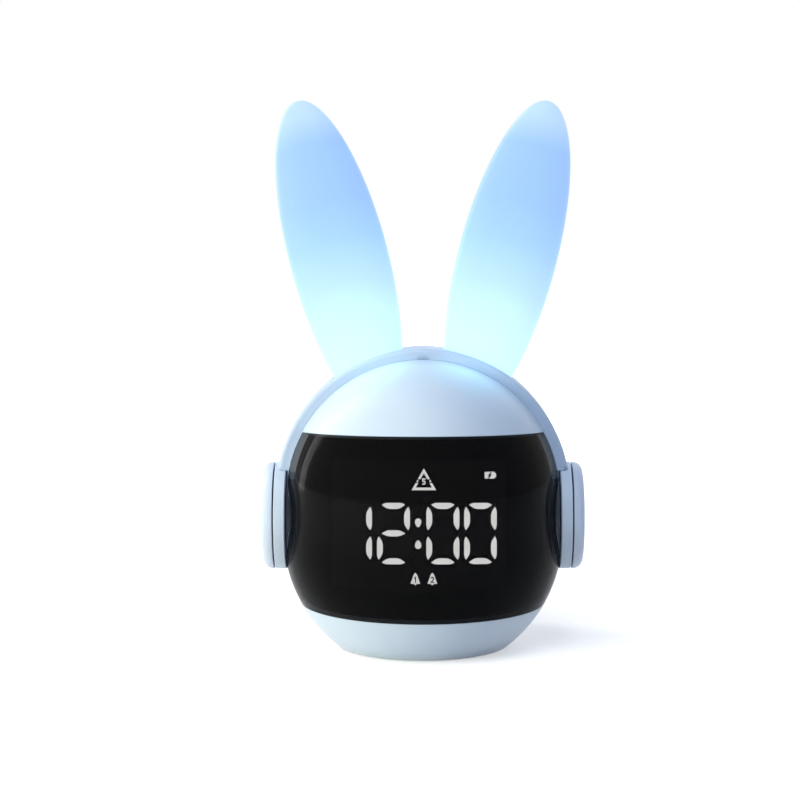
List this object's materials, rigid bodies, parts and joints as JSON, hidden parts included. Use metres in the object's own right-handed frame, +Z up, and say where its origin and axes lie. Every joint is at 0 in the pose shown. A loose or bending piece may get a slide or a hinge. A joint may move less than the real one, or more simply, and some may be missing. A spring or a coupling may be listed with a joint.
{
  "type": "kids alarm clock with night light",
  "caption": "Kids' alarm clock and night light: round body with a black wrap-around display panel, a headband with ear cups that press, and tall glowing ears.",
  "frame": {"origin": "middle of the rubber foot pad, on the standing surface", "axes": "+Z up along the clock's height, -Y towards the viewer in front of the display, +X to that viewer's right"},
  "size_m": [0.1002, 0.0858, 0.1707],
  "materials": {
    "case_plastic": "satin pale blue injection-moulded plastic",
    "cap_plastic": "satin pale blue injection-moulded plastic",
    "smoked_panel": "glossy smoked black plastic",
    "ear_diffuser": "translucent satin plastic, glows light blue",
    "white_plastic": "plain white plastic",
    "white_board": "white solder-masked board",
    "green_board": "green solder-masked board",
    "led": "small white lamps",
    "steel": "zinc-plated",
    "black_plastic": "plain black plastic",
    "lit_diffuser": "milky diffuser, lit white",
    "dark_diffuser": "diffuser, unlit behind the panel",
    "rubber": "soft non-slip pad",
    "speaker_paper": "pressed paper cone",
    "battery_wrap": "shrink wrap",
    "lead_cover": "flexible lead cover"
  },
  "bodies": {
    "clock": {"front_shell": "case_plastic", "rear_shell": "case_plastic", "front_panel": "smoked_panel", "headband": "case_plastic", "ear_left": "ear_diffuser", "ear_right": "ear_diffuser", "ear_clamp_left": "white_plastic", "ear_clamp_right": "white_plastic", "ear_board_left": "white_board", "ear_board_right": "white_board", "ear_leds": "led", "ear_screws": "steel", "ear_cup_left": "case_plastic", "ear_cup_right": "case_plastic", "cup_retainer_left": "white_plastic", "cup_retainer_right": "white_plastic", "cup_board_left": "green_board", "cup_board_right": "green_board", "cup_switches": "black_plastic", "cup_screws": "steel", "display_block": "black_plastic", "digits_lit": "lit_diffuser", "digits_unlit": "dark_diffuser", "display_icons": "lit_diffuser", "display_board": "green_board", "display_leds": "led", "display_screws": "steel", "base_plate": "case_plastic", "foot_pad": "rubber", "base_screws": "steel", "battery_tray": "black_plastic", "battery_pack": "battery_wrap", "battery_lead": "lead_cover", "display_lead": "lead_cover", "ear_leads": "lead_cover", "cup_leads": "lead_cover", "rear_plate": "case_plastic", "main_board": "green_board", "main_board_chips": "black_plastic", "usb_socket": "steel", "power_switch": "black_plastic", "button_switches": "black_plastic", "speaker_frame": "black_plastic", "speaker_cone": "speaker_paper", "speaker_magnet": "steel", "plate_screws": "steel", "board_screws": "steel", "case_screws": "steel"},
    "cap_left": {"ear_cap_left": "cap_plastic"},
    "cap_right": {"ear_cap_right": "cap_plastic"},
    "power_knob": {"power_knob": "black_plastic"},
    "button_set": {"button_set": "cap_plastic"},
    "button_alarm": {"button_alarm": "cap_plastic"},
    "button_up": {"button_up": "cap_plastic"},
    "button_down": {"button_down": "cap_plastic"},
    "button_light": {"button_light": "cap_plastic"}
  },
  "joints": [
    {"name": "cap_left_press", "type": "slide", "parent": "clock", "child": "cap_left", "axis": [1, 0, 0], "range_m": [0, 0.00035], "stiffness_N_per_m": 300, "springref_m": -0.004},
    {"name": "cap_right_press", "type": "slide", "parent": "clock", "child": "cap_right", "axis": [-1, 0, 0], "range_m": [0, 0.00035], "stiffness_N_per_m": 300, "springref_m": -0.004},
    {"name": "power_slide", "type": "slide", "parent": "clock", "child": "power_knob", "axis": [-1, 0, 0], "range_m": [0, 0.002]},
    {"name": "button_set_press", "type": "slide", "parent": "clock", "child": "button_set", "axis": [0, -1, 0], "range_m": [0, 0.0005], "stiffness_N_per_m": 200, "springref_m": -0.004},
    {"name": "button_alarm_press", "type": "slide", "parent": "clock", "child": "button_alarm", "axis": [0, -1, 0], "range_m": [0, 0.0005], "stiffness_N_per_m": 200, "springref_m": -0.004},
    {"name": "button_up_press", "type": "slide", "parent": "clock", "child": "button_up", "axis": [0, -1, 0], "range_m": [0, 0.0005], "stiffness_N_per_m": 200, "springref_m": -0.004},
    {"name": "button_down_press", "type": "slide", "parent": "clock", "child": "button_down", "axis": [0, -1, 0], "range_m": [0, 0.0005], "stiffness_N_per_m": 200, "springref_m": -0.004},
    {"name": "button_light_press", "type": "slide", "parent": "clock", "child": "button_light", "axis": [0, -1, 0], "range_m": [0, 0.0005], "stiffness_N_per_m": 200, "springref_m": -0.004}
  ]
}
